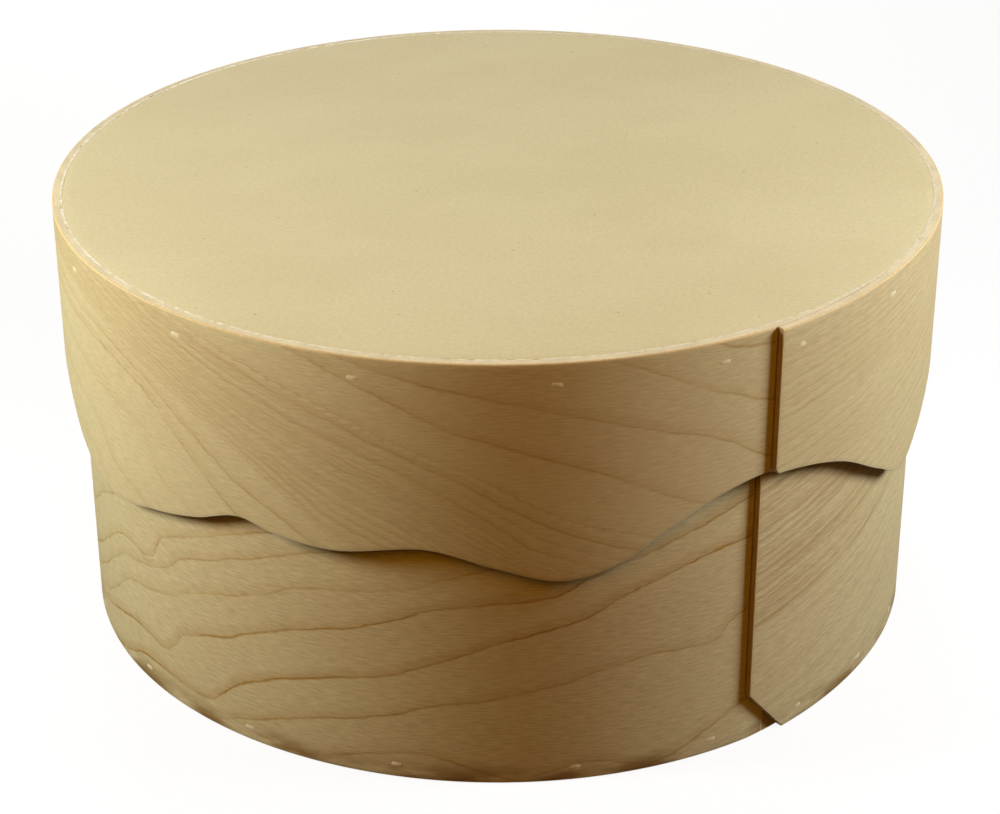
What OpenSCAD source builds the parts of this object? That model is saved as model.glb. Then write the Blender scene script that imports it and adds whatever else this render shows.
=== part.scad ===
// Round bentwood box with a lift-off lid that has a wavy hem.
// Two strips of three-veneer plywood are bent round two disc panels, lapped, glued and pegged.
// Millimetres, +Z up. The origin is on the table, under the middle of the closed box.
// Angles are in degrees, from the front (-Y) towards +X.

/* [Overall] */
// Outside diameter of the lid
lid_d = 380; // [300:1:460]
// Height of the closed box
total_h = 190; // [160:1:260]

/* [Bent bands] */
// Thickness of the face veneer
face_ply_t = 0.8; // [0.5:0.1:1.2]
// Thickness of the core veneer
core_ply_t = 1.6; // [0.8:0.1:2.4]
// Thickness of the back veneer
back_ply_t = 0.8; // [0.5:0.1:1.2]
// Gap between the base's lap and the inside of the lid
lid_clearance = 0.3; // [0.3:0.05:2]

/* [Laps] */
// Length over which the outer end of a band lifts off the circle
lap_l = 90; // [75:1:120]
// Length of the thinned inner end under a lap
lap_inner_l = 48; // [30:1:55]
// Thickness of the glue film in a lap
lap_glue_t = 0.2; // [0.1:0.05:0.4]
// Angle of the lid's seam
lid_seam = 33.5; // [0:0.5:90]
// Angle of the base's seam
base_seam = 33; // [0:0.5:90]
// Width of the clipped corner at the foot of the base's lap
clip_w = 20; // [8:1:30]
// Height of the clipped corner at the foot of the base's lap
clip_h = 23; // [8:1:40]

/* [Panels] */
// Thickness of the lid's panel
lid_panel_t = 18; // [12:1:25]
// Thickness of the base's panel
base_panel_t = 12; // [9:1:25]
// Width of the glue line between a panel and its band
panel_glue_t = 1; // [0.4:0.1:2]

/* [Pegs] */
// Width of a flat peg, along the band
peg_w = 4.6; // [3:0.1:6]
// Thickness of a flat peg
peg_t = 2; // [1.4:0.1:3]
// Length of a peg inside its panel
peg_bite = 16; // [8:1:30]

/* [Hem] */
// Mean drop of the lid's hem below its top
hem_drop = 82; // [60:1:110]
// Height of the hem's waves, as a share of the drawn one
hem_swell = 1; // [0.5:0.05:1.3]

/* [Hidden] */

// Points that the lid's hem passes through: angle, rise above the mean hem.
// The front ones follow the photographed box, and the back ones go on in the same manner.
hem_points = [
    [-80, 15], [-74, 8], [-66, -9], [-57, -18], [-47, -12], [-39, -5.5], [-32.5, 2], [-27, -1],
    [-19.5, -2.5], [-8.5, 2.5], [0, -5], [7, -11], [13.5, -6.5], [20, 6], [27, 16.5], [34.5, 20],
    [45, 12], [55, -5.5], [62, -15.5], [68, -7], [75, 5], [88, 17], [100, 2], [110, -10],
    [120, -4], [128, 3], [138, -2], [148, -13], [158, -4], [168, 10], [178, 16], [190, 4],
    [200, -12], [208, -18], [216, -10], [226, 2], [236, -1], [246, -8], [256, 2], [266, 15], [274, 18]
];
// Deepest fall that the hem can reach below its mean
hem_depth = 30;
// Straight steps in the cut along the hem
hem_steps = 180;

// Pegs, spaced by eye: angle of each from its own seam, with the first one through the lap
lid_peg_angles = [3, 21.5, 45.5, 69.5, 93.5, 118, 142, 166, 190, 214.5, 238.5, 262.5, 286, 310, 333, 353];
base_peg_angles = [9, 24, 37.5, 59, 81, 103, 125, 147, 169, 191, 213, 234, 254, 272.5, 293, 314, 336.5, 355];

// Thickness of a band, and where its three veneers start and end, from the inside out
band_t = back_ply_t + core_ply_t + face_ply_t;
back_ply = [0, back_ply_t];
core_ply = [back_ply_t, back_ply_t + core_ply_t];
face_ply = [back_ply_t + core_ply_t, band_t];

// Inside radii: the lid's band is on the outside, and the base's lap still passes inside it
lid_r = lid_d / 2 - band_t;
base_r = lid_r - lid_clearance - band_t - lap_glue_t - band_t;

// The base's rim carries the lid's panel
base_h = total_h - lid_panel_t;
lid_peg_z = total_h - lid_panel_t / 2;
base_peg_z = base_panel_t / 2;
hem_z = total_h - hem_drop;

// How far a cutter reaches past what it cuts, and the angle that a scarf cut starts before its seam
over = 5;
scarf_lead = 3;
// Room left on both sides of a glue film, so that it touches the curved veneers and doesn't cut into them
film_ease = 0.01;
$fn = 240;

// The lapped end of a band of inside radius r springs out on a flatter arc about its own centre. The arc
// leaves the circle smoothly, and at the seam it is one thickness and a glue film outside it.
function lap_seat(r) = r + band_t + lap_glue_t;
// How far the arc's centre is set back behind the box's centre, in whole hundredths
function lap_back(r) =
    let (rise = (pow(lap_seat(r), 2) - r * r) / pow(lap_l, 2))
    round(100 * rise * r / (1 - rise)) / 100;
// Inside radius of the arc
function lap_r(r) = r + lap_back(r);
// Sweep of the arc about its own centre
function lap_sweep(r) =
    acos((pow(lap_back(r), 2) + pow(lap_r(r), 2) - pow(lap_seat(r), 2)) / (2 * lap_back(r) * lap_r(r)));
// Angle that the arc spans about the box's centre
function lap_span(r) = atan2(lap_r(r) * sin(lap_sweep(r)), lap_r(r) * cos(lap_sweep(r)) - lap_back(r));
// Angle that the inner end takes under the lap
function inner_span(r) = lap_inner_l / (r + band_t) * 180 / PI;
// Distance from the box's centre of a line in the lapped end, at an angle back from where it leaves the circle
function lap_reach(r, depth, back) =
    sqrt(pow(lap_r(r) + depth, 2) - pow(lap_back(r) * sin(back), 2)) - lap_back(r) * cos(back);
// Outside radius of the whole band, at an angle past its seam
function band_outside(r, past) = past < lap_span(r) ? lap_reach(r, band_t, lap_span(r) - past) : r + band_t;

// The hem: a smooth closed curve through hem_points
hem_count = len(hem_points);
function hem_angle(i) = hem_points[(i + hem_count) % hem_count][0] + 360 * floor(i / hem_count);
function hem_rise(i) = hem_swell * hem_points[(i + hem_count) % hem_count][1];
function hem_slope(i) = (hem_rise(i + 1) - hem_rise(i - 1)) / (hem_angle(i + 1) - hem_angle(i - 1));
function hem_between(i, w, t) =
    (1 + 2 * t) * pow(1 - t, 2) * hem_rise(i) + t * pow(1 - t, 2) * w * hem_slope(i)
    + (3 - 2 * t) * t * t * hem_rise(i + 1) - (1 - t) * t * t * w * hem_slope(i + 1);
function hem_at(a) =
    let (i = len([for (p = hem_points) if (p[0] <= a) p]) - 1, w = hem_angle(i + 1) - hem_angle(i))
    hem_between(i, w, (a - hem_angle(i)) / w);

// Turns its children so that +X points outwards at angle a
module facing(a) rotate([0, 0, a - 90]) children();

// A wall between two radii, from height z0 to z1, swept from +X by an angle
module bent_wall(r_in, r_out, z0, z1, sweep)
    rotate_extrude(angle = sweep) translate([r_in, z0]) square([r_out - r_in, z1 - z0]);

// One veneer of a band of inside radius r: the round, the thinned inner end and the lapped outer end
module veneer(r, seam, ply, z0, z1, clipped = false)
    facing(seam + lap_span(r)) {
        difference() {
            bent_wall(r + ply[0], r + ply[1], z0, z1, 360 - lap_span(r) + inner_span(r));
            scarf(r, z0, z1);
        }
        lapped_end(r, ply, z0, z1, 0, clipped);
    }

// What is planed off the inner end, so that the lapped end can lie on it
module scarf(r, z0, z1) {
    near = (lap_span(r) - inner_span(r)) / 2;
    far = lap_span(r) + scarf_lead;
    reach = 2 * lap_seat(r);
    difference() {
        translate([0, 0, z0 - over]) linear_extrude(z1 - z0 + 2 * over)
            polygon([[0, 0], [reach * cos(near), -reach * sin(near)], [reach * cos(far), -reach * sin(far)]]);
        translate([-lap_back(r), 0, z0 - 2 * over]) cylinder(r = lap_r(r) - lap_glue_t, h = z1 - z0 + 4 * over);
    }
}

// A layer of the lapped end, from an angle after it leaves the circle to its free end, where the lower
// corner may be clipped off
module lapped_end(r, layer, z0, z1, start, clipped)
    translate([-lap_back(r), 0, 0]) mirror([0, 1, 0]) difference() {
        rotate([0, 0, start]) bent_wall(lap_r(r) + layer[0], lap_r(r) + layer[1], z0, z1, lap_sweep(r) - start);
        if (clipped) rotate([0, 0, lap_sweep(r)]) translate([lap_r(r) - 2 * over, 0, z0]) rotate([90, 0, 90])
            linear_extrude(band_t + 4 * over) corner_clip();
    }

// The clipped corner, with the free end at x = 0
module corner_clip()
    polygon([[over, -over], [-clip_w * (1 + over / clip_h), -over], [over, clip_h * (1 + over / clip_w)]]);

// The glue film in a lap, from the free end to the end of the inner layer
module lap_film(r, seam, z0, z1, clipped = false) {
    back = lap_span(r) - inner_span(r);
    reach = lap_reach(r, 0, back);
    start = atan2(reach * sin(back), reach * cos(back) + lap_back(r));
    facing(seam + lap_span(r)) lapped_end(r, [film_ease - lap_glue_t, -film_ease], z0, z1, start, clipped);
}

// Everything below the lid's hem
module below_hem() {
    r_in = lid_r - over;
    r_out = lap_seat(lid_r) + band_t + over;
    bottom = hem_z - hem_depth - over;
    points = [
        for (i = [0:hem_steps - 1])
            let (a = hem_angle(0) + i * 360 / hem_steps, z = hem_z + hem_at(a), x = sin(a), y = -cos(a))
            each [[r_in * x, r_in * y, bottom], [r_in * x, r_in * y, z],
                  [r_out * x, r_out * y, z], [r_out * x, r_out * y, bottom]]
    ];
    faces = [
        for (i = [0:hem_steps - 1], k = [0:3])
            let (j = (i + 1) % hem_steps, m = (k + 1) % 4)
            each [[4 * i + k, 4 * j + k, 4 * j + m], [4 * i + k, 4 * j + m, 4 * i + m]]
    ];
    polyhedron(points, faces);
}

// A flat peg along +X with rounded sides
module peg(from, to)
    translate([from, 0, 0]) rotate([90, 0, 90]) linear_extrude(to - from) {
        square([peg_w - peg_t, peg_t], center = true);
        for (side = [-1, 1]) translate([side * (peg_w - peg_t) / 2, 0]) circle(d = peg_t, $fn = 48);
    }

// The pegs of a band of inside radius r, from inside the panel to flush with the band, or further for holes
module pegs(r, seam, angles, z, past = 0)
    for (a = angles)
        facing(seam + a) translate([0, 0, z]) peg(r - panel_glue_t - peg_bite, band_outside(r, a) + past);

module lid_holes() pegs(lid_r, lid_seam, lid_peg_angles, lid_peg_z, over);
module base_holes() pegs(base_r, base_seam, base_peg_angles, base_peg_z, over);

module lid_veneer(ply)
    difference() {
        veneer(lid_r, lid_seam, ply, hem_z - hem_depth, total_h);
        below_hem();
        lid_holes();
    }

module base_veneer(ply)
    difference() {
        veneer(base_r, base_seam, ply, 0, base_h, clipped = true);
        base_holes();
    }

// A disc of board inside a band of inside radius r, with the glue line left free
module panel(r, z, t) translate([0, 0, z]) cylinder(r = r - panel_glue_t, h = t);

// The glue line round a panel
module glue_line(r, z, t)
    difference() {
        translate([0, 0, z]) cylinder(r = r, h = t);
        panel(r, z - over, t + 2 * over);
    }

// The lid's panel is flush with the band's top edge
module lid_panel() color("#D9CCA0") difference() {
    panel(lid_r, base_h, lid_panel_t);
    lid_holes();
}

module lid_panel_glue() color("#E9DFC4") difference() {
    glue_line(lid_r, base_h, lid_panel_t);
    lid_holes();
}

module lid_pegs() color("#E2D3AC") pegs(lid_r, lid_seam, lid_peg_angles, lid_peg_z);

module lid_back_ply() color("#D2B98A") lid_veneer(back_ply);
module lid_core_ply() color("#A9854F") lid_veneer(core_ply);
module lid_face_ply() color("#C4A873") lid_veneer(face_ply);

module lid_lap_glue() color("#8A6A3C") difference() {
    lap_film(lid_r, lid_seam, hem_z - hem_depth, total_h);
    below_hem();
    lid_holes();
}

// The base's panel is flush with the band's bottom edge
module base_panel() color("#D9CCA0") difference() {
    panel(base_r, 0, base_panel_t);
    base_holes();
}

module base_panel_glue() color("#E9DFC4") difference() {
    glue_line(base_r, 0, base_panel_t);
    base_holes();
}

module base_pegs() color("#E2D3AC") pegs(base_r, base_seam, base_peg_angles, base_peg_z);

module base_back_ply() color("#D2B98A") base_veneer(back_ply);
module base_core_ply() color("#A9854F") base_veneer(core_ply);
module base_face_ply() color("#BFA46C") base_veneer(face_ply);

module base_lap_glue() color("#8A6A3C") difference() {
    lap_film(base_r, base_seam, 0, base_h, clipped = true);
    base_holes();
}

lid_panel();
lid_panel_glue();
lid_pegs();
lid_back_ply();
lid_core_ply();
lid_face_ply();
lid_lap_glue();
base_panel();
base_panel_glue();
base_pegs();
base_back_ply();
base_core_ply();
base_face_ply();
base_lap_glue();
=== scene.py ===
import math
import random

import bpy
import numpy as np
from mathutils import Matrix, Vector


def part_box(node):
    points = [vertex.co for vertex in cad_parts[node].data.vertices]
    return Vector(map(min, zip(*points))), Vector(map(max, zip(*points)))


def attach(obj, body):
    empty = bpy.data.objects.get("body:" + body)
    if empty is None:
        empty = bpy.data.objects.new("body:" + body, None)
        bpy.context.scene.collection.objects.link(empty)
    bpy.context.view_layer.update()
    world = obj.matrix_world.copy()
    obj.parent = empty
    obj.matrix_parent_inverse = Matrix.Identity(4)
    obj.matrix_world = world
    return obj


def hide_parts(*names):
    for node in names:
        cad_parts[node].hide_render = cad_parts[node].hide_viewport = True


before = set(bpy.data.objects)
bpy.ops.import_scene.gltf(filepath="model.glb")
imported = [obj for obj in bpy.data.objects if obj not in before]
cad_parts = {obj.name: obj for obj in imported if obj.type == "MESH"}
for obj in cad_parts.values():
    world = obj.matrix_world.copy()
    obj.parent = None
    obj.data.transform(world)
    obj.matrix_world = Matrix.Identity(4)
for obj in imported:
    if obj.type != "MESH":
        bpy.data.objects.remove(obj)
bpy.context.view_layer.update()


# Base panel: the bottom board, a sawn disc of fibreboard that the band is bent and pegged round.
# It is sanded with its sharp arrises just broken, and it shows the board's fine felted speckle.
mm = 0.001
BOARD_ARRIS = 0.3 * mm
BOARD_SIDES = 288
BOARD_RINGS = (4 * mm, 20 * mm, 50 * mm)
BOARD_PALE = (0.695, 0.61, 0.36)
BOARD_TAN = (0.67, 0.583, 0.338)
BOARD_FIBRE = (0.47, 0.37, 0.19)
BOARD_SPECK = (0.26, 0.18, 0.08)
SPECKS_PER_METRE = 15
# How far a speck reaches, dark and then fading, as shares of the distance between specks
SPECK_CORE = 0.004
SPECK_EDGE = 0.01
SHARP_FROM = math.radians(30)


class Shading:
    """A tree of shader nodes, with short ways to add those that this scene uses."""

    def __init__(self, owner):
        owner.use_nodes = True
        self.tree = owner.node_tree
        self.nodes = self.tree.nodes

    def put(self, socket, value):
        """Links a socket to another node's output, or sets it."""
        if isinstance(value, bpy.types.NodeSocket):
            self.tree.links.new(value, socket)
        elif isinstance(value, tuple) and socket.type == "RGBA":
            socket.default_value = (*value, 1)
        else:
            socket.default_value = value

    def add(self, kind, inputs, **settings):
        """Adds a node with its settings and inputs."""
        node = self.nodes.new("ShaderNode" + kind)
        for name, value in settings.items():
            setattr(node, name, value)
        for name, value in inputs.items():
            self.put(node.inputs[name], value)
        return node

    def strip(self):
        """Place on the flat strip that a veneer was cut as: length from its free end, and height."""
        return self.add("UVMap", {}, uv_map="strip").outputs["UV"]

    def place(self):
        """Place in the box."""
        return self.add("TexCoord", {}).outputs["Object"]

    def drawn(self, name):
        """A number that the piece carries on its points."""
        return self.add("Attribute", {}, attribute_name=name).outputs["Fac"]

    def math(self, operation, *values):
        """A number worked out from one, two or three others."""
        return self.add("Math", dict(enumerate(values)), operation=operation).outputs[0]

    def noise(self, place, per_metre, detail=2.0, roughness=0.5):
        """Soft noise from 0 to 1, with that many grains per metre each way."""
        scaled = self.add("VectorMath", {0: place, 1: per_metre}, operation="MULTIPLY").outputs[0]
        settings = {"Vector": scaled, "Scale": 1.0, "Detail": detail, "Roughness": roughness}
        return self.add("TexNoise", settings).outputs["Fac"]

    def spread(self, value, low, high, to_low, to_high):
        """Carries a number smoothly from one range to another."""
        ends = {"Value": value, "From Min": low, "From Max": high, "To Min": to_low, "To Max": to_high}
        return self.add("MapRange", ends, interpolation_type="SMOOTHSTEP").outputs["Result"]

    def mix(self, share, first, second):
        """One colour going over into another."""
        return self.add("MixRGB", {"Fac": share, "Color1": first, "Color2": second}).outputs["Color"]

    def shade(self, colour, value):
        """A colour made lighter or darker by a factor."""
        return self.add("VectorMath", {0: colour, "Scale": value}, operation="SCALE").outputs["Vector"]


class Finish(Shading):
    """The finish of a piece: a material whose shader takes a colour, a roughness and a relief."""

    def __init__(self, name, specular):
        self.material = bpy.data.materials.new(name)
        super().__init__(self.material)
        self.shader = self.nodes["Principled BSDF"]
        self.shader.inputs["Specular IOR Level"].default_value = specular

    def surface(self, colour, roughness, height, depth):
        """Joins the colour, the roughness and a relief of that depth in metres to the shader."""
        relief = self.add("Bump", {"Height": height, "Distance": depth, "Strength": 1.0})
        self.put(self.shader.inputs["Base Color"], colour)
        self.put(self.shader.inputs["Roughness"], roughness)
        self.put(self.shader.inputs["Normal"], relief.outputs["Normal"])
        return self.material


def fibreboard():
    """Sanded fibreboard: a felt of short fibres, in paler and darker patches, with a few dark specks."""
    finish = Finish("fibreboard", specular=0.08)
    place = finish.place()
    patches = finish.noise(place, (13, 17, 13), 3.0, 0.55)
    felt = finish.noise(place, (620, 700, 620), 3.0, 0.6)
    fibres = finish.noise(place, (420, 1300, 900), 1.0)
    colour = finish.mix(finish.spread(patches, 0.36, 0.64, 0.0, 1.0), BOARD_PALE, BOARD_TAN)
    colour = finish.mix(finish.spread(fibres, 0.62, 0.76, 0.0, 0.4), colour, BOARD_FIBRE)
    colour = finish.shade(colour, finish.spread(felt, 0.25, 0.75, 0.95, 1.05))
    cells = finish.add("TexVoronoi", {"Vector": place, "Scale": SPECKS_PER_METRE}, voronoi_dimensions="2D")
    specks = finish.spread(cells.outputs["Distance"], SPECK_CORE, SPECK_EDGE, 0.55, 0.0)
    colour = finish.mix(specks, colour, BOARD_SPECK)
    return finish.surface(colour, finish.spread(felt, 0.2, 0.8, 0.64, 0.78), felt, depth=0.03 * mm)


def start_piece(name):
    """Names the primitive that was just added, and puts its place into its mesh."""
    piece = bpy.context.object
    piece.name = name
    piece.data.name = name
    bpy.ops.object.transform_apply(location=True, rotation=True, scale=True)
    return piece


def apply_modifier(piece, kind, **settings):
    """Adds a modifier to a piece and applies it."""
    modifier = piece.modifiers.new(kind.lower(), kind)
    for name, value in settings.items():
        setattr(modifier, name, value)
    bpy.ops.object.modifier_apply(modifier=modifier.name)


def finish_piece(piece, body, node, material=None):
    """Gives a piece its material, unless it has one, and puts it in the place of a CAD node."""
    if material:
        piece.data.materials.append(material)
    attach(piece, body)
    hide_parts(node)


def board_disc(name, node):
    """A disc of board in the place of a CAD panel, with its two arrises broken."""
    low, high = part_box(node)
    bpy.ops.object.select_all(action="DESELECT")
    bpy.ops.mesh.primitive_cylinder_add(
        vertices=BOARD_SIDES, radius=high.x, depth=high.z - low.z, location=(0, 0, (low.z + high.z) / 2))
    disc = start_piece(name)
    apply_modifier(disc, "BEVEL", width=BOARD_ARRIS, segments=3, limit_method="ANGLE")
    bpy.context.tool_settings.mesh_select_mode = (False, False, True)
    for face in disc.data.polygons:
        face.select = len(face.vertices) == BOARD_SIDES
    bpy.ops.object.mode_set(mode="EDIT")
    for ring in BOARD_RINGS:
        bpy.ops.mesh.inset(thickness=ring, use_individual=True)
    bpy.ops.object.mode_set(mode="OBJECT")
    bpy.ops.object.shade_smooth_by_angle(angle=SHARP_FROM)
    return disc


board = fibreboard()
base_board = board_disc("base_board", "base_panel")
finish_piece(base_board, "base", "base_panel", board)


# Base band: a long strip of plywood, three veneers glued crosswise, bent round the panel.
# Its inner end is planed thin, and its outer end springs out over that and is glued down on it,
# with the lower corner clipped off. Each veneer is cut flat here, then bent as the strip is.
PLIES = {"back": (0.0, 0.8 * mm), "core": (0.8 * mm, 2.4 * mm), "face": (2.4 * mm, 3.2 * mm)}
BAND_T = PLIES["face"][1]
LAP_LIFT_L = 90 * mm
LAP_INNER_L = 48 * mm
LAP_GLUE_T = 0.2 * mm
FEATHER_T = 0.05 * mm
BASE_SEAM = 33
BASE_CORNER = (20 * mm, 23 * mm)
STRIP_STEP = 2.5 * mm
COLUMN_SHARES = (0, 0.18, 0.53, 1)
LENGTH_SHARES = (0, 0.125, 0.765, 1)
ROW_STEP = 2 * mm
PLAIN_ROWS = 8
RIM_ARRIS = 0.75 * mm
EDGE_ARRIS = 0.45 * mm
FACING_OUT = -0.9


class Band:
    """A strip of plywood bent round a panel, with its outer end lapped over its thinned inner end."""

    def __init__(self, glue_node, seam):
        self.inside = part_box(glue_node)[1].x
        self.outside = self.inside + BAND_T
        self.seam = math.radians(seam)
        seat = self.outside + LAP_GLUE_T
        rise = (seat ** 2 - self.inside ** 2) / LAP_LIFT_L ** 2
        self.back = rise * self.inside / (1 - rise)
        self.lap_r = self.inside + self.back
        sweep = math.acos((self.back ** 2 + self.lap_r ** 2 - seat ** 2) / (2 * self.back * self.lap_r))
        self.span = math.atan2(self.lap_r * math.sin(sweep), self.lap_r * math.cos(sweep) - self.back)
        self.lap_l = sweep * (self.lap_r + BAND_T)

    def lap_reach(self, depth, short):
        """Distance from the box's axis of a line in the lapped end, short of where it leaves the circle."""
        across = self.back * np.sin(short)
        return np.sqrt((self.lap_r + depth) ** 2 - across ** 2) - self.back * np.cos(short)

    def length(self, depth):
        """Length of the strip to where planing has thinned it down to a depth, or to its end."""
        radius = self.inside + depth
        planed = self.lap_r - LAP_GLUE_T
        short = math.acos((planed ** 2 - radius ** 2 - self.back ** 2) / (2 * radius * self.back))
        past = min(LAP_INNER_L / self.outside, self.span - short)
        return self.lap_l + (2 * math.pi - self.span + past) * self.outside

    def bend(self, along, depth):
        """Distance from the axis, and angle from the front, of points on the strip once it is bent.

        A point is given by its length from the free end and its depth from the inner face."""
        turn = (along - self.lap_l) / self.outside
        past = turn + self.span - 2 * math.pi
        planed = self.lap_reach(-LAP_GLUE_T, self.span - past) - self.inside
        depth = np.where(past > 0, np.minimum(depth, planed), depth)
        lapped = along < self.lap_l
        angle = np.where(lapped, (along - self.lap_l) / (self.lap_r + BAND_T), turn)
        radius = np.where(lapped, self.lap_r, self.inside) + depth
        sideways = radius * np.sin(angle)
        outwards = radius * np.cos(angle) - np.where(lapped, self.back, 0)
        around = np.where(lapped, np.arctan2(sideways, outwards), turn)
        return np.hypot(sideways, outwards), self.seam + self.span + around


def points_of(piece):
    """The places of a piece's points, one row each."""
    places = np.empty(len(piece.data.vertices) * 3)
    piece.data.vertices.foreach_get("co", places)
    return places.reshape(-1, 3)


def move_points(piece, x, y, z):
    """Moves a piece's points to new places."""
    piece.data.vertices.foreach_set("co", np.stack([x, y, z], 1).ravel())
    piece.data.update()


def clip_corner(piece, width, height, foot):
    """Cuts the lower corner at the free end off a flat strip."""
    bpy.ops.object.mode_set(mode="EDIT")
    bpy.ops.mesh.select_all(action="SELECT")
    corner = Vector((-height, 0, -width)).normalized()
    bpy.ops.mesh.bisect(plane_co=(width, 0, foot), plane_no=corner, clear_outer=True, threshold=0.001 * mm)
    bpy.ops.object.mode_set(mode="OBJECT")


def ease_arris(piece, top):
    """Rounds the outline of a flat strip's outer face, as sanding does, most of all along the top rim."""
    mesh = piece.data
    sides = np.empty(len(mesh.polygons), int)
    mesh.polygons.foreach_get("loop_total", sides)
    normals = np.empty(len(mesh.polygons) * 3)
    mesh.polygons.foreach_get("normal", normals)
    edges = np.empty(len(mesh.loops), int)
    mesh.loops.foreach_get("edge_index", edges)
    outer = np.repeat(normals.reshape(-1, 3)[:, 1] < FACING_OUT, sides)
    outline = np.bincount(edges[outer], minlength=len(mesh.edges)) == 1
    ends = np.empty(len(mesh.edges) * 2, int)
    mesh.edges.foreach_get("vertices", ends)
    lower_end = points_of(piece)[ends, 2].reshape(-1, 2).min(axis=1)
    share = np.where(lower_end > top - RIM_ARRIS, 1.0, EDGE_ARRIS / RIM_ARRIS)
    weights = mesh.attributes.new("bevel_weight_edge", "FLOAT", "EDGE")
    weights.data.foreach_set("value", (outline * share).astype(np.float32))
    apply_modifier(piece, "BEVEL", width=RIM_ARRIS, segments=3, limit_method="WEIGHT", material=2)


def carry(piece, name, values):
    """Writes a number for each of a piece's points, which its material reads."""
    piece.data.attributes.new(name, "FLOAT", "POINT").data.foreach_set("value", values.astype(np.float32))


def veneer(name, band, ply, rows, foot, top, corner, materials, rings=None):
    """One veneer of a band: cut from a flat sheet, given its thickness, then bent with the strip.

    The sheet's columns are closer at the lap and across the front than round the back.
    foot gives the height of the lower edge by the angle from the front, in degrees. corner is the width
    and height of the clipped corner. The materials are those of its faces, its cut edges and its eased
    arris. rings gives the growth rings of a face veneer by angle and height."""
    inner, outer = PLIES[ply]
    length = band.length(inner + FEATHER_T)
    columns = round(length / STRIP_STEP)
    bpy.ops.object.select_all(action="DESELECT")
    bpy.ops.mesh.primitive_grid_add(x_subdivisions=columns, y_subdivisions=rows, size=1)
    sheet = start_piece(name)
    for material in materials:
        sheet.data.materials.append(material)
    x, y, z = points_of(sheet).T
    along = np.interp(x + 0.5, COLUMN_SHARES, LENGTH_SHARES) * length
    low = foot(np.degrees(band.bend(along, BAND_T)[1]))
    move_points(sheet, along, np.full_like(along, -inner), low + (y + 0.5) * (top - low))
    clip_corner(sheet, *corner, foot(math.degrees(band.seam)))
    apply_modifier(sheet, "SOLIDIFY", thickness=outer - inner, offset=1, material_offset_rim=1)
    if ply == "face":
        ease_arris(sheet, top)

    along, depth, height = points_of(sheet).T * np.array([[1], [-1], [1]])
    corners = np.empty(len(sheet.data.loops), int)
    sheet.data.loops.foreach_get("vertex_index", corners)
    flat = sheet.data.uv_layers[0]
    flat.name = "strip"
    flat.data.foreach_set("uv", np.stack([along, height], 1)[corners].ravel())
    reach, around = band.bend(along, depth)
    if rings:
        for label, values in rings(np.degrees(around), height / mm).items():
            carry(sheet, label, values)
    move_points(sheet, reach * np.sin(around), -reach * np.cos(around), height)
    bpy.ops.object.shade_smooth_by_angle(angle=SHARP_FROM)
    return sheet


def smooth_line(points, at):
    """A smooth curve through points, read at some places. At a point it runs as its neighbours lie."""
    xs, ys = np.array(points, float).T
    runs = (ys[2:] - ys[:-2]) / (xs[2:] - xs[:-2])
    first = (ys[1] - ys[0]) / (xs[1] - xs[0])
    last = (ys[-1] - ys[-2]) / (xs[-1] - xs[-2])
    slopes = np.concatenate([[first], runs, [last]])
    at = np.clip(at, xs[0], xs[-1])
    i = np.clip(np.searchsorted(xs, at, side="right") - 1, 0, len(xs) - 2)
    width = xs[i + 1] - xs[i]
    t = (at - xs[i]) / width
    start = (1 + 2 * t) * (1 - t) ** 2 * ys[i] + t * (1 - t) ** 2 * width * slopes[i]
    end = (3 - 2 * t) * t ** 2 * ys[i + 1] - (1 - t) * t ** 2 * width * slopes[i + 1]
    return start + end


# Growth lines of the base's face veneer: ring number, strength, then points along the line as the angle
# from the front and the height in millimetres. Other rings lie between them. The first list runs from the
# lap's free end round the back, and the second one goes on from there across the front.
BASE_LAP_RINGS = [
    (-17, 0.3, [(33, -10), (56, 4), (75, 18), (110, 38), (160, 40), (210, 20), (250, -6), (290, -10)]),
    (-1, 0.35, [(33, 53), (45, 61), (56, 69), (65, 78), (75, 89), (110, 112), (160, 114), (210, 92),
               (250, 66), (290, 56)]),
    (0, 1.2, [(33, 57), (45, 65), (56, 73), (65, 83), (75, 94), (110, 117), (160, 119), (210, 97),
              (250, 70), (290, 60)]),
    (1, 0.9, [(33, 60), (45, 68), (56, 76), (65, 86), (75, 97), (110, 120), (160, 122), (210, 100),
              (250, 73), (290, 63)]),
    (21, 0.8, [(33, 118), (56, 138), (75, 161), (110, 186), (160, 188), (210, 166), (250, 140), (290, 130)]),
]
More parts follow.
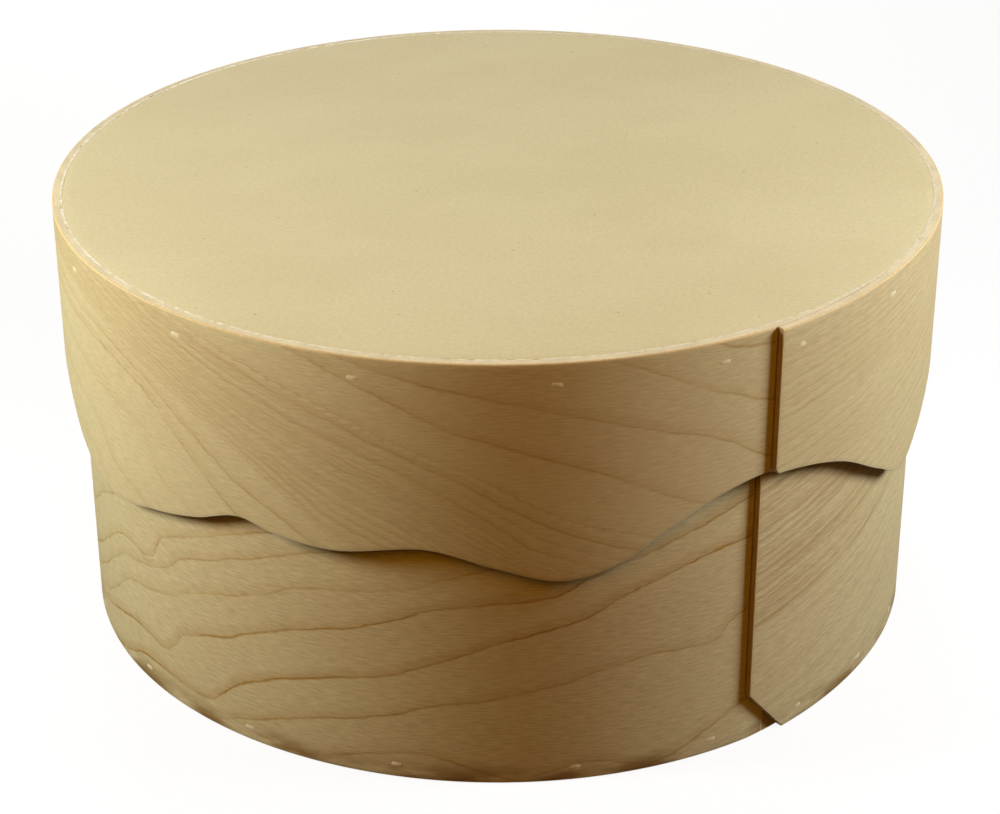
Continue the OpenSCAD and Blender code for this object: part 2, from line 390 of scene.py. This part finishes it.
BASE_FRONT_RINGS = [
    (0, 0.7, [(-120, -36), (-80, -34), (-41, -16), (-25, 2), (-10, 12), (2, 2), (11, 8), (20, 3), (33, 20)]),
    (1, 1.1, [(-120, -18), (-80, -16), (-55, -8), (-41, 2), (-34, 10), (-25, 20), (-13, 30), (-9, 35),
              (4, 43), (12, 50), (18, 54), (24, 54), (28.5, 54), (30, 60), (33, 64)]),
    (2, 1.1, [(-120, -6), (-80, -6), (-61, 4), (-55, 12), (-41, 11), (-38, 18), (-35, 26), (-25, 39),
              (-13, 49), (-4, 61), (2, 68), (11, 76), (15, 83), (24, 93), (33, 98)]),
    (3, 0.9, [(-120, 4), (-80, 5), (-74, 10), (-58, 24), (-50, 23), (-47, 30), (-45.5, 36), (-38, 45),
              (-28, 59), (-17, 69), (-9, 79), (-3, 83), (7, 86), (11, 93), (33, 116)]),
    (4, 0.85, [(-120, 12), (-80, 10), (-74, 15), (-66, 26), (-59, 43), (-50, 50), (-40, 63), (-31, 73),
               (-25, 81), (-12, 88), (-7, 93), (-1, 99), (11, 112), (33, 132)]),
    (5, 0.7, [(-120, 22), (-80, 18), (-74, 25), (-69, 34), (-60, 54), (-54, 58), (-48, 65), (-45, 73),
              (-38, 81), (-29, 92), (-20, 101), (11, 128), (33, 146)]),
    (6, 0.65, [(-120, 34), (-80, 28), (-74, 36), (-70, 43), (-61, 62), (-58, 64), (-54, 62.5), (-51.5, 64.5),
               (-50.3, 70), (-49, 77.5), (-46, 82), (-41, 88), (-32, 100), (11, 142), (33, 158)]),
    (7, 0.6, [(-120, 60), (-80, 52), (-73, 60), (-66, 74), (-58, 84), (-52, 90), (-40, 104),
              (11, 154), (33, 170)]),
]
LAP_TO_FRONT = (235, 275)
# In millimetres: the length of the strip to one degree, and the least height between two growth lines
DEGREE_L = math.radians(185)
LEAST_APART = 1.0


def rings_between(guides, angle, height):
    """Ring number, gap between rings in millimetres and strength at each point, between growth lines."""
    curves = [points for number, strength, points in guides]
    lines = [smooth_line(points, angle) for points in curves]
    climbs = [smooth_line(points, angle + 0.5) - smooth_line(points, angle - 0.5) for points in curves]
    number, gap, strength = np.zeros((3, len(angle)))
    for k in range(len(guides) - 1):
        from_number, from_strength = guides[k][:2]
        to_number, to_strength = guides[k + 1][:2]
        apart = np.maximum(lines[k + 1] - lines[k], LEAST_APART)
        share = (height - lines[k]) / apart
        here = share >= 0 if k else np.full(len(angle), True)
        square = 1 / np.hypot(1, climbs[k] / DEGREE_L)
        number = np.where(here, from_number + share * (to_number - from_number), number)
        gap = np.where(here, square * apart / (to_number - from_number), gap)
        between = from_strength + np.clip(share, 0, 1) * (to_strength - from_strength)
        strength = np.where(here, between, strength)
    return np.stack([number, gap, strength])


def growth_rings(lap_guides, front_guides):
    """The growth rings of a whole strip, whose lines go over smoothly from the lap's to the front's."""
    def rings(angle, height):
        share = np.clip((angle - LAP_TO_FRONT[0]) / (LAP_TO_FRONT[1] - LAP_TO_FRONT[0]), 0, 1)
        share = share * share * (3 - 2 * share)
        lap = rings_between(lap_guides, angle, height)
        front = rings_between(front_guides, angle - 360, height)
        return dict(zip(("ring", "ring_gap", "ring_strength"), lap + share * (front - lap)))
    return rings


def growth_lines(finish, strip, ring, gap, width):
    """How strongly a growth line shows at each point: a thin line, with a soft band of late wood above it.

    Every ring has a strength of its own, and its line fades in and out along the strip."""
    to_line = finish.math("MULTIPLY", finish.math("PINGPONG", ring, 0.5), gap)
    above = finish.math("MULTIPLY", finish.math("FRACT", ring), gap)
    each = finish.add("TexWhiteNoise", {"W": finish.math("ROUND", ring)}, noise_dimensions="1D")
    own = finish.spread(each.outputs["Value"], 0.0, 1.0, 0.55, 1.0)
    own = finish.math("MULTIPLY", own, finish.drawn("ring_strength"))
    fading = finish.spread(finish.noise(strip, (24, 50, 1), 3.0), 0.3, 0.65, 0.4, 1.0)
    width = finish.math("MINIMUM", finish.math("MULTIPLY", gap, WIDEST_LINE), width)
    drawn = finish.spread(finish.math("DIVIDE", to_line, width), 0.1, 1.15, 1.0, 0.0)
    drawn = finish.math("MULTIPLY", drawn, fading)
    late_wood = finish.spread(above, 0.0, LATE_WOOD, 0.3, 0.0)
    return finish.math("MULTIPLY", finish.math("MAXIMUM", drawn, late_wood), own)


def face_veneer(name, contrast, width, streaky, grain):
    """Rotary-cut maple: brown growth lines that wander a little, on a ground of short pale and dark flecks.

    contrast is how brown the lines are, and width about how far one reaches to each side in millimetres.
    streaky is how far close lines run together into soft streaks, and grain is how much the flecks lighten
    and darken the wood. Near the floor it is darker in patches, partly soiling and partly painted shade."""
    finish = Finish(name, WOOD_GLOSS)
    strip = finish.strip()
    along, height = [finish.add("SeparateXYZ", {0: strip}).outputs[axis] for axis in "XY"]
    gap = finish.drawn("ring_gap")
    wander = finish.math("SUBTRACT", finish.noise(strip, (50, 110, 1), 5.0, 0.58), 0.5)
    shift = finish.math("DIVIDE", finish.math("MULTIPLY", wander, RING_WANDER), gap)
    ring = finish.math("ADD", finish.drawn("ring"), shift)
    close = finish.spread(gap, *CLOSE_RINGS, streaky, 0.0)
    lines = growth_lines(finish, strip, ring, gap, width)
    lines = finish.math("MULTIPLY", lines, finish.math("MULTIPLY_ADD", close, -contrast, contrast))
    grown = finish.add("CombineXYZ", {"X": along, "Y": ring}).outputs[0]
    streaks = finish.spread(finish.noise(grown, (9, 1.2, 1), 4.0, 0.65), 0.38, 0.7, 0.0, 1.0)
    streaks = finish.math("MULTIPLY", streaks, finish.drawn("ring_strength"))

    patches = finish.noise(strip, (9, 22, 1), 3.0)
    flecks = finish.noise(strip, (150, 1500, 1), 3.0, 0.6)
    pores = finish.spread(finish.noise(strip, (330, 2300, 1), 1.0), 0.62, 0.78, 0.0, 0.3)
    colour = finish.mix(finish.spread(patches, 0.35, 0.65, 0.0, 1.0), VENEER_TAN, VENEER_PINK)
    colour = finish.mix(finish.math("MULTIPLY", streaks, close), colour, STREAK_BROWN)
    colour = finish.mix(lines, colour, RING_BROWN)
    colour = finish.mix(pores, colour, RING_BROWN)
    # Darker in patches near the floor: partly soiling, partly painted shade where less light reaches the
    # foot
    near_foot = finish.spread(height, 0.0, FOOT_SOIL_AND_SHADE_H, 1.0, 0.0)
    foot_soil_and_shade = finish.spread(finish.noise(strip, (26, 90, 1), 3.0), 0.4, 0.62, 0.0, 1.0)
    colour = finish.mix(finish.math("MULTIPLY", near_foot, foot_soil_and_shade), colour, FOOT_SOIL_AND_SHADE)
    colour = finish.shade(colour, finish.spread(flecks, 0.25, 0.75, 1 - grain, 1 + grain))
    return finish.surface(colour, finish.spread(flecks, 0.2, 0.8, 0.58, 0.74), flecks, depth=0.006 * mm)


def plain_veneer(name, ground, streak):
    """A plain veneer: straight pale and darker streaks along the strip, with short flecks."""
    finish = Finish(name, WOOD_GLOSS)
    strip = finish.strip()
    streaks = finish.noise(strip, (3, 130, 1), 4.0, 0.65)
    flecks = finish.noise(strip, (170, 1500, 1), 3.0, 0.6)
    colour = finish.mix(finish.spread(streaks, 0.4, 0.66, 0.0, 0.8), ground, streak)
    colour = finish.shade(colour, finish.spread(flecks, 0.25, 0.75, 0.92, 1.08))
    return finish.surface(colour, finish.spread(flecks, 0.2, 0.8, 0.54, 0.7), flecks, depth=0.04 * mm)


def cut_edge(name, rim, end):
    """The cut edge of a veneer: one look along the rim, and another across the strip's free end."""
    finish = Finish(name, WOOD_GLOSS)
    strip = finish.strip()
    along = finish.add("SeparateXYZ", {0: strip}).outputs["X"]
    grain = finish.noise(finish.place(), (900, 900, 900), 3.0, 0.65)
    broad = finish.noise(finish.place(), (90, 90, 160), 2.0)
    colour = finish.mix(finish.spread(along, 0.1 * mm, 0.8 * mm, 1.0, 0.0), rim, end)
    colour = finish.shade(colour, finish.spread(grain, 0.25, 0.75, 0.92, 1.06))
    colour = finish.shade(colour, finish.spread(broad, 0.3, 0.7, 0.92, 1.06))
    return finish.surface(colour, 0.68, grain, depth=0.05 * mm)


def eased_arris(name, top):
    """A face veneer's sanded arris: warm along the top rim, paler along the lower edge and the end as a
    painted highlight.
    """
    finish = Finish(name, WOOD_GLOSS)
    strip = finish.strip()
    height = finish.add("SeparateXYZ", {0: strip}).outputs["Y"]
    grain = finish.noise(strip, (600, 1100, 1), 3.0, 0.65)
    # Below the rim the arris is paler: a painted highlight that stands in for light thrown up from the floor
    at_rim = finish.spread(height, top - 3 * mm, top - 1 * mm, 0.0, 1.0)
    colour = finish.mix(at_rim, ARRIS_PAINTED_HIGHLIGHT, ARRIS_ORANGE)
    colour = finish.shade(colour, finish.spread(grain, 0.25, 0.75, 0.88, 1.08))
    return finish.surface(colour, 0.66, grain, depth=0.03 * mm)


WOOD_GLOSS = 0.02
# In millimetres: how far growth lines wander, the late wood above one, and the gaps at which they are close
RING_WANDER = 3.6
LATE_WOOD = 6.0
CLOSE_RINGS = (3.5, 6.0)
# The most that a growth line reaches to each side, as a share of the gap
WIDEST_LINE = 0.4
# Height of the darkened band at the foot, which is partly soiling and partly painted shade
FOOT_SOIL_AND_SHADE_H = 12 * mm
PALE_VENEER = (0.64, 0.5, 0.28)
PALE_STREAK = (0.55, 0.41, 0.2)
CORE_WOOD = (0.5, 0.36, 0.16)
CORE_STREAK = (0.4, 0.27, 0.11)
CREAM_EDGE = (0.76, 0.66, 0.43)
HONEY_EDGE = (0.78, 0.64, 0.38)
BROWN_END = (0.3, 0.18, 0.07)
TAN_END = (0.46, 0.33, 0.15)
ARRIS_ORANGE = (0.77, 0.59, 0.31)
# Paler arris below the rim: a painted highlight for light from the floor
ARRIS_PAINTED_HIGHLIGHT = (0.8, 0.7, 0.46)
VENEER_TAN = (0.67, 0.56, 0.305)
VENEER_PINK = (0.655, 0.53, 0.29)
RING_BROWN = (0.44, 0.26, 0.07)
# Colour of the darkened foot: partly soiling, partly painted shade
FOOT_SOIL_AND_SHADE = (0.3, 0.18, 0.06)
STREAK_BROWN = (0.42, 0.27, 0.12)

base_band = Band("base_panel_glue", BASE_SEAM)
base_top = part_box("base_face_ply")[1].z
base_rings = growth_rings(BASE_LAP_RINGS, BASE_FRONT_RINGS)
back_veneer = plain_veneer("back_veneer", PALE_VENEER, PALE_STREAK)
core_veneer = plain_veneer("core_veneer", CORE_WOOD, CORE_STREAK)
back_edge = cut_edge("back_edge", CREAM_EDGE, BROWN_END)
core_edge = cut_edge("core_edge", CREAM_EDGE, TAN_END)
face_edge = cut_edge("face_edge", HONEY_EDGE, BROWN_END)
back_finish = (back_veneer, back_edge)
core_finish = (core_veneer, core_edge)
base_veneer = face_veneer("base_veneer", contrast=1.2, width=0.85, streaky=0.85, grain=0.15)
base_finish = (base_veneer, face_edge, eased_arris("base_arris", base_top))


def base_foot(angle):
    """The base's lower edge is straight."""
    return 0.0 * angle


def band_veneers(body, band, foot, top, corner, face_rows, face_finish, rings):
    """The three veneers of a band, each in the place of its CAD node."""
    plies = (
        ("back", "back_veneer", PLAIN_ROWS, back_finish, None),
        ("core", "core_veneer", PLAIN_ROWS, core_finish, None),
        ("face", f"{body}_veneer", face_rows, face_finish, rings),
    )
    for ply, slot, rows, materials, ply_rings in plies:
        name = f"{body}_{ply}_veneer"
        piece = veneer(name, band, ply, rows, foot, top, corner, materials, ply_rings)
        finish_piece(piece, body, f"{body}_{ply}_ply")


base_rows = round(base_top / ROW_STEP)
band_veneers("base", base_band, base_foot, base_top, BASE_CORNER, base_rows, base_finish, base_rings)


# Lap glue of the base: the thin film that holds the outer end of the band down on the planed inner end.
# It dries brown, and shows only as a dark line in the corner of the lap.
GLUE_BROWN = (0.2, 0.105, 0.035)
GLUE_AMBER = (0.32, 0.18, 0.06)


def dried_film():
    """Brown glue, dried in runs and patches."""
    finish = Finish("dried_film", specular=0.4)
    runs = finish.noise(finish.place(), (700, 700, 240), 3.0)
    colour = finish.mix(finish.spread(runs, 0.35, 0.65, 0.0, 1.0), GLUE_BROWN, GLUE_AMBER)
    return finish.surface(colour, finish.spread(runs, 0.3, 0.7, 0.35, 0.6), runs, depth=0.05 * mm)


def refinish(node, material):
    """Gives a CAD node that stays as it is a new material."""
    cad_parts[node].data.materials.clear()
    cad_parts[node].data.materials.append(material)


film = dried_film()
refinish("base_lap_glue", film)


# Glue line of the base panel: pale wood glue squeezed up between the board and the band.
# It dries lumpy, a little smeared over both edges and with gaps where there was too little.
GLUE_STEPS = 900
GLUE_SMEAR = 0.25 * mm
GLUE_PROUD = 0.04 * mm
GLUE_GAP = 0.25 * mm
GLUE_WAVES = 5
GLUE_WAVE_COUNTS = (30, 190)
GLUE_SCANT = -2.4
GLUE_SHARP_FROM = math.radians(40)
GLUE_WHITE = (0.78, 0.71, 0.53)
GLUE_YELLOW = (0.69, 0.595, 0.38)


def dried_glue():
    """Pale wood glue, in whiter and yellower patches."""
    finish = Finish("dried_glue", specular=0.1)
    lumps = finish.noise(finish.place(), (420, 420, 420), 3.0, 0.6)
    colour = finish.mix(finish.spread(lumps, 0.35, 0.65, 0.0, 1.0), GLUE_WHITE, GLUE_YELLOW)
    return finish.surface(colour, finish.spread(lumps, 0.3, 0.7, 0.42, 0.68), lumps, depth=0.08 * mm)


def glue_line(name, node, panel_node, seed):
    """A ring of dried glue between a panel and its band, with an uneven edge above and below.

    Its four edges are smeared by chance at every step. Where its waves add up to little, there was too
    little glue, and it leaves a gap."""
    low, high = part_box(node)
    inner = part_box(panel_node)[1].x
    draw = random.Random(seed)
    bpy.ops.object.select_all(action="DESELECT")
    bpy.ops.mesh.primitive_cylinder_add(
        vertices=GLUE_STEPS, radius=inner, depth=high.z - low.z, end_fill_type="NOTHING",
        location=(0, 0, (low.z + high.z) / 2))
    ring = start_piece(name)
    apply_modifier(ring, "SOLIDIFY", thickness=high.x - inner, offset=1)
    x, y, z = points_of(ring).T
    reach = np.hypot(x, y)
    step = np.round(np.degrees(np.arctan2(y, x)) * GLUE_STEPS / 360).astype(int) % GLUE_STEPS
    smear = np.array([draw.random() ** 2 * GLUE_SMEAR for k in range(4 * GLUE_STEPS)])
    waves = [(draw.randint(*GLUE_WAVE_COUNTS), draw.uniform(0, 2 * math.pi)) for k in range(GLUE_WAVES)]
    turn = np.arange(GLUE_STEPS) * 2 * math.pi / GLUE_STEPS
    filled = sum(np.sin(count * turn + start) for count, start in waves) > GLUE_SCANT
    above = z > (low.z + high.z) / 2
    outer = reach > (inner + high.x) / 2
    full = filled[step]
    spread = smear[step + GLUE_STEPS * (2 * above + outer)] * np.where(outer, 1, -1)
    grown = reach + np.where(full, spread, 0)
    lift = np.where(full, GLUE_PROUD, -GLUE_GAP) * np.where(above, 1, -1)
    move_points(ring, x * grown / reach, y * grown / reach, z + lift)
    bpy.ops.object.shade_smooth_by_angle(angle=GLUE_SHARP_FROM)
    return ring


glue = dried_glue()
base_glue = glue_line("base_glue_line", "base_panel_glue", "base_panel", seed=4)
finish_piece(base_glue, "base", "base_panel_glue", glue)


# Base pegs: small flat pegs of pale wood, driven through the band into the edge of the panel.
# They are trimmed and sanded off almost flush, so only their oval ends show.
PEG_W = 4.6 * mm
PEG_T = 2 * mm
PEG_PROUD = 0.03 * mm
PEG_L = 18 * mm
PEG_ARRIS = 0.15 * mm
PEG_SIDES = 28
PEG_TILT = 7
PEG_CORNER = math.radians(60)
PEG_SHARP_FROM = math.radians(40)
PEG_PALE = (0.85, 0.755, 0.5)
PEG_TAN = (0.72, 0.59, 0.34)
BASE_PEG_Z = 6 * mm
BASE_PEGS = (9, 24, 37.5, 59, 81, 103, 125, 147, 169, 191, 213, 234, 254, 272.5, 293, 314, 336.5, 355)


def peg_wood():
    """Pale close-grained wood, cut across the grain."""
    finish = Finish("peg_wood", specular=0.08)
    grain = finish.noise(finish.place(), (1500, 1500, 1500), 2.0)
    colour = finish.mix(finish.spread(grain, 0.35, 0.65, 0.0, 0.6), PEG_PALE, PEG_TAN)
    return finish.surface(colour, finish.spread(grain, 0.3, 0.7, 0.5, 0.65), grain, depth=0.04 * mm)


def peg_row(name, band, past_seam, height, seed):
    """A row of pegs round a band, at angles past its seam. One peg is shaped, then copied and driven in."""
    draw = random.Random(seed)
    bpy.ops.object.select_all(action="DESELECT")
    bpy.ops.mesh.primitive_cylinder_add(vertices=PEG_SIDES, radius=PEG_T / 2, depth=PEG_L)
    peg = start_piece(name)
    x, y, z = points_of(peg).T
    move_points(peg, x + np.sign(np.round(x, 6)) * (PEG_W - PEG_T) / 2, y, z)
    apply_modifier(peg, "BEVEL", width=PEG_ARRIS, segments=2, limit_method="ANGLE", angle_limit=PEG_CORNER)
    driven = []
    for past in past_seam:
        copy = peg.copy()
        copy.data = peg.data.copy()
        bpy.context.collection.objects.link(copy)
        short = band.span - math.radians(past)
        end = band.lap_reach(BAND_T, short) if short > 0 else band.outside
        tilt = Matrix.Rotation(math.radians(draw.uniform(-PEG_TILT, PEG_TILT)), 4, "Z")
        lay = Matrix.Rotation(math.radians(90), 4, "X")
        turn = Matrix.Rotation(band.seam + math.radians(past), 4, "Z")
        out = Matrix.Translation((0, PEG_L / 2 - end - PEG_PROUD, height))
        copy.data.transform(turn @ out @ lay @ tilt)
        driven.append(copy)
    bpy.data.objects.remove(peg)
    bpy.ops.object.select_all(action="DESELECT")
    for copy in driven:
        copy.select_set(True)
    bpy.context.view_layer.objects.active = driven[0]
    bpy.ops.object.join()
    row = bpy.context.object
    row.name = name
    bpy.ops.object.shade_smooth_by_angle(angle=PEG_SHARP_FROM)
    return row


pale_peg = peg_wood()
base_pegs = peg_row("base_peg_row", base_band, BASE_PEGS, BASE_PEG_Z, seed=11)
finish_piece(base_pegs, "base", "base_pegs", pale_peg)


# Lid panel: a disc of the same board as the base's, glued and pegged into the lid's band flush with its top.
# On the closed box it rests on the base's rim.
lid_board = board_disc("lid_board", "lid_panel")
finish_piece(lid_board, "lid", "lid_panel", board)


# Lid band: a strip of the same plywood, lapped like the base's and just wide enough to slip over it.
# Its lower edge, the hem, is sawn freehand in long waves, and its growth lines sweep down to the right
# across the front. The hem is given by angles from the front and millimetres above its middle height.
LID_SEAM = 33.5
HEM_DROP = 82 * mm
HEM = [
    (-80, 15), (-74, 8), (-66, -9), (-57, -18), (-47, -12), (-39, -5.5), (-32.5, 2), (-27, -1),
    (-19.5, -2.5), (-8.5, 2.5), (0, -5), (7, -11), (13.5, -6.5), (20, 6), (27, 16.5), (34.5, 20),
    (45, 12), (55, -5.5), (62, -15.5), (68, -7), (75, 5), (88, 17), (100, 2), (110, -10),
    (120, -4), (128, 3), (138, -2), (148, -13), (158, -4), (168, 10), (178, 16), (190, 4),
    (200, -12), (208, -18), (216, -10), (226, 2), (236, -1), (246, -8), (256, 2), (266, 15), (274, 18),
]
LID_CORNER = (1.5 * mm, 2 * mm)
LID_LAP_RINGS = [
    (0, 0.6, [(33, 90), (50, 102), (75, 122), (120, 140), (180, 122), (240, 100), (290, 96)]),
    (10, 0.65, [(33, 140), (51, 151), (62, 157), (75, 164), (120, 172), (180, 156), (240, 132), (290, 128)]),
    (19, 0.6, [(33, 174), (75, 186), (120, 192), (180, 182), (240, 164), (290, 160)]),
]
LID_FRONT_RINGS = [
    (0, 0.5, [(-120, 128), (-80, 136), (-66, 126), (-60, 121), (-56, 108), (-50, 99), (33, -40)]),
    (1, 0.6, [(-120, 146), (-80, 152), (-60, 141), (-53, 136), (-48, 130), (-46, 117), (-42, 108), (33, 0)]),
    (2, 0.75, [(-120, 160), (-80, 166), (-67, 161), (-54, 157), (-46, 148), (-40, 132), (-36, 121),
               (-32, 110), (33, 30)]),
    (4, 0.75, [(-120, 174), (-80, 179), (-60, 173), (-50, 165), (-38, 150), (-30, 136), (-22, 117),
               (-18, 108), (33, 44)]),
    (11, 0.8, [(-120, 190), (-80, 192), (-60, 186), (-46, 174), (-32, 157), (-21, 142), (-10.5, 126),
               (-3, 108), (33, 62)]),
    (16, 0.8, [(-120, 198), (-80, 200), (-55, 190), (-40, 174), (-25, 156), (-12, 140), (-3, 123),
               (4, 106), (33, 70)]),
    (20, 1.0, [(-120, 213), (-80, 214), (-50, 196), (-32, 179), (-20, 166), (-10.5, 153), (-3, 143),
               (4, 130), (11, 119), (17.6, 112), (33, 92)]),
    (21, 1.2, [(-120, 230), (-80, 232), (-40, 205), (-18, 181), (-7, 164), (0.4, 156), (11, 144), (17, 134),
               (24, 123), (33, 110)]),
    (22, 1.3, [(-120, 248), (-80, 250), (-40, 212), (-20, 190), (6, 170), (18.5, 158),
               (27, 148), (33, 136)]),
    (23, 1.2, [(-120, 266), (-80, 268), (-40, 232), (15, 186), (24, 172), (33, 160)]),
]

lid_band = Band("lid_panel_glue", LID_SEAM)
lid_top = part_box("lid_panel")[1].z
hem_turns = [(a - 360, rise) for a, rise in HEM[-2:]] + HEM + [(a + 360, rise) for a, rise in HEM[:2]]


def hem(angle):
    """Height of the lid's hem, by the angle from the front."""
    first = HEM[0][0]
    return lid_top - HEM_DROP + mm * smooth_line(hem_turns, (angle - first) % 360 + first)


lid_rings = growth_rings(LID_LAP_RINGS, LID_FRONT_RINGS)
lid_veneer = face_veneer("lid_veneer", contrast=0.71, width=0.9, streaky=0.3, grain=0.11)
lid_finish = (lid_veneer, face_edge, eased_arris("lid_arris", lid_top))
lid_rows = round(HEM_DROP / ROW_STEP)
band_veneers("lid", lid_band, hem, lid_top, LID_CORNER, lid_rows, lid_finish, lid_rings)


# Lap glue and glue line of the lid: the same brown film in the lap and the same pale glue round the panel.
# Here the pale glue shows, as a broken line along the top rim.
refinish("lid_lap_glue", film)
lid_glue = glue_line("lid_glue_line", "lid_panel_glue", "lid_panel", seed=7)
finish_piece(lid_glue, "lid", "lid_panel_glue", glue)


# Lid pegs: a row of the same pegs, driven through the lid's band halfway down the edge of its panel.
# They are trimmed flush and show as pale ovals below the rim.
LID_PEG_Z = 181 * mm
LID_PEGS = (3, 21.5, 45.5, 69.5, 93.5, 118, 142, 166, 190, 214.5, 238.5, 262.5, 286, 310, 333, 353)
lid_pegs = peg_row("lid_peg_row", lid_band, LID_PEGS, LID_PEG_Z, seed=12)
finish_piece(lid_pegs, "lid", "lid_pegs", pale_peg)


# Floor: a plain pale sheet that takes the box's shadow. It is white to the camera, a little brighter far off
# so that no horizon shows, and dim and warm in the light that it sends back to the box.
FLOOR_SIZE = 14
FLOOR_GAP = 0.2 * mm
FLOOR_BOUNCE = (0.06, 0.03, 0.008)
GLOW_SHARE = 0.86
NEAR_FLOOR = 0.9
FAR_FLOOR = 3.0
NEAR_GLOW = 1.04
FAR_GLOW = 1.18
WHITE = (1.0, 1.0, 1.0)

bpy.ops.object.select_all(action="DESELECT")
bpy.ops.mesh.primitive_plane_add(size=FLOOR_SIZE, location=(0, 0, -FLOOR_GAP))
floor = start_piece("floor")


def seen_directly(shading):
    """1 for what the camera sees, straight or in a reflection or through glass, and 0 for other light."""
    path = shading.add("LightPath", {}).outputs
    mirrored = shading.math("MAXIMUM", path["Is Glossy Ray"], path["Is Transmission Ray"])
    return shading.math("MAXIMUM", path["Is Camera Ray"], mirrored)


sheet = Finish("floor_sheet", specular=0.0)
sheet_fibre = sheet.noise(sheet.place(), (300, 300, 300), 2.0)
sheet_white = sheet.shade(WHITE, sheet.spread(sheet_fibre, 0.2, 0.8, 0.98, 1.0))
lit_sheet = sheet.add("BsdfDiffuse", {"Color": sheet_white}).outputs[0]
away = sheet.add("VectorMath", {0: sheet.place()}, operation="LENGTH").outputs["Value"]
brightness = sheet.spread(away, NEAR_FLOOR, FAR_FLOOR, NEAR_GLOW, FAR_GLOW)
glow = sheet.add("Emission", {"Color": sheet_white, "Strength": brightness}).outputs[0]
white = sheet.add("MixShader", {0: GLOW_SHARE, 1: lit_sheet, 2: glow}).outputs[0]
bounce = sheet.add("BsdfDiffuse", {"Color": FLOOR_BOUNCE}).outputs[0]
shown = sheet.add("MixShader", {0: seen_directly(sheet), 1: bounce, 2: white}).outputs[0]
sheet.put(sheet.nodes["Material Output"].inputs["Surface"], shown)
floor.data.materials.append(sheet.material)


# Light: a small softbox close to each side, which leaves the middle of the front dim, a weak one above,
# a wide one behind that lights the back, and an amber reflector above the camera that warms the front.
FILL = (0.012, 0.005, 0.001)
DAYLIGHT = (0.96, 1.0, 0.97)
COOL = (0.96, 1.0, 1.06)
WARM = (1.0, 0.97, 0.92)
AMBER = (1.0, 0.44, 0.0)
AIM = Vector((0, 0, 0.1))


def softbox(name, azimuth, elevation, distance, width, height, watts, colour=DAYLIGHT):
    """A soft area lamp that faces the box, by its azimuth from the front and its elevation in degrees."""
    turn, rise = math.radians(azimuth), math.radians(elevation)
    away = Vector((math.sin(turn) * math.cos(rise), -math.cos(turn) * math.cos(rise), math.sin(rise)))
    bpy.ops.object.light_add(type="AREA", location=AIM + distance * away)
    lamp = bpy.context.object
    lamp.name = name
    lamp.rotation_euler = away.to_track_quat("Z", "Y").to_euler()
    lamp.visible_camera = False
    lamp.data.shape = "RECTANGLE"
    lamp.data.size = width
    lamp.data.size_y = height
    lamp.data.energy = watts
    lamp.data.color = colour


softbox("left_softbox", -67.5, 25, 0.66, 0.15, 0.18, 2.8)
softbox("right_softbox", 75, 28, 0.74, 0.27, 0.22, 3.75, COOL)
softbox("top_softbox", 180, 76, 1.2, 0.5, 0.4, 2.4)
softbox("back_softbox", 192, 22, 1.4, 0.6, 0.5, 8.0, WARM)
softbox("front_reflector", -3, 38, 1.3, 0.8, 0.5, 3.2, AMBER)

world = bpy.data.worlds.new("studio")
bpy.context.scene.world = world
sky = Shading(world)
sky_tone = sky.mix(seen_directly(sky), FILL, WHITE)
sky.put(sky.nodes["Background"].inputs["Color"], sky_tone)


# Camera: where the photograph was taken from, in front of the box and looking down on it.
# Its place, its angles and its lens are fitted to the box's outline.
CAMERA_PLACE = (0, -1.0127, 0.5928)
CAMERA_PITCH = 27.05
CAMERA_YAW = 0.04
CAMERA_ROLL = -0.15
CAMERA_SENSOR = 36
CAMERA_LENS = 90.6

bpy.ops.object.camera_add()
camera = bpy.context.object
camera.data.sensor_width = CAMERA_SENSOR
camera.data.lens = CAMERA_LENS
aim = Matrix.Rotation(math.radians(-CAMERA_YAW), 4, "Z")
tip = Matrix.Rotation(math.radians(90 - CAMERA_PITCH), 4, "X")
roll = Matrix.Rotation(math.radians(CAMERA_ROLL), 4, "Z")
camera.matrix_world = Matrix.Translation(CAMERA_PLACE) @ aim @ tip @ roll
scene = bpy.context.scene
scene.camera = camera
scene.view_settings.view_transform = "Standard"
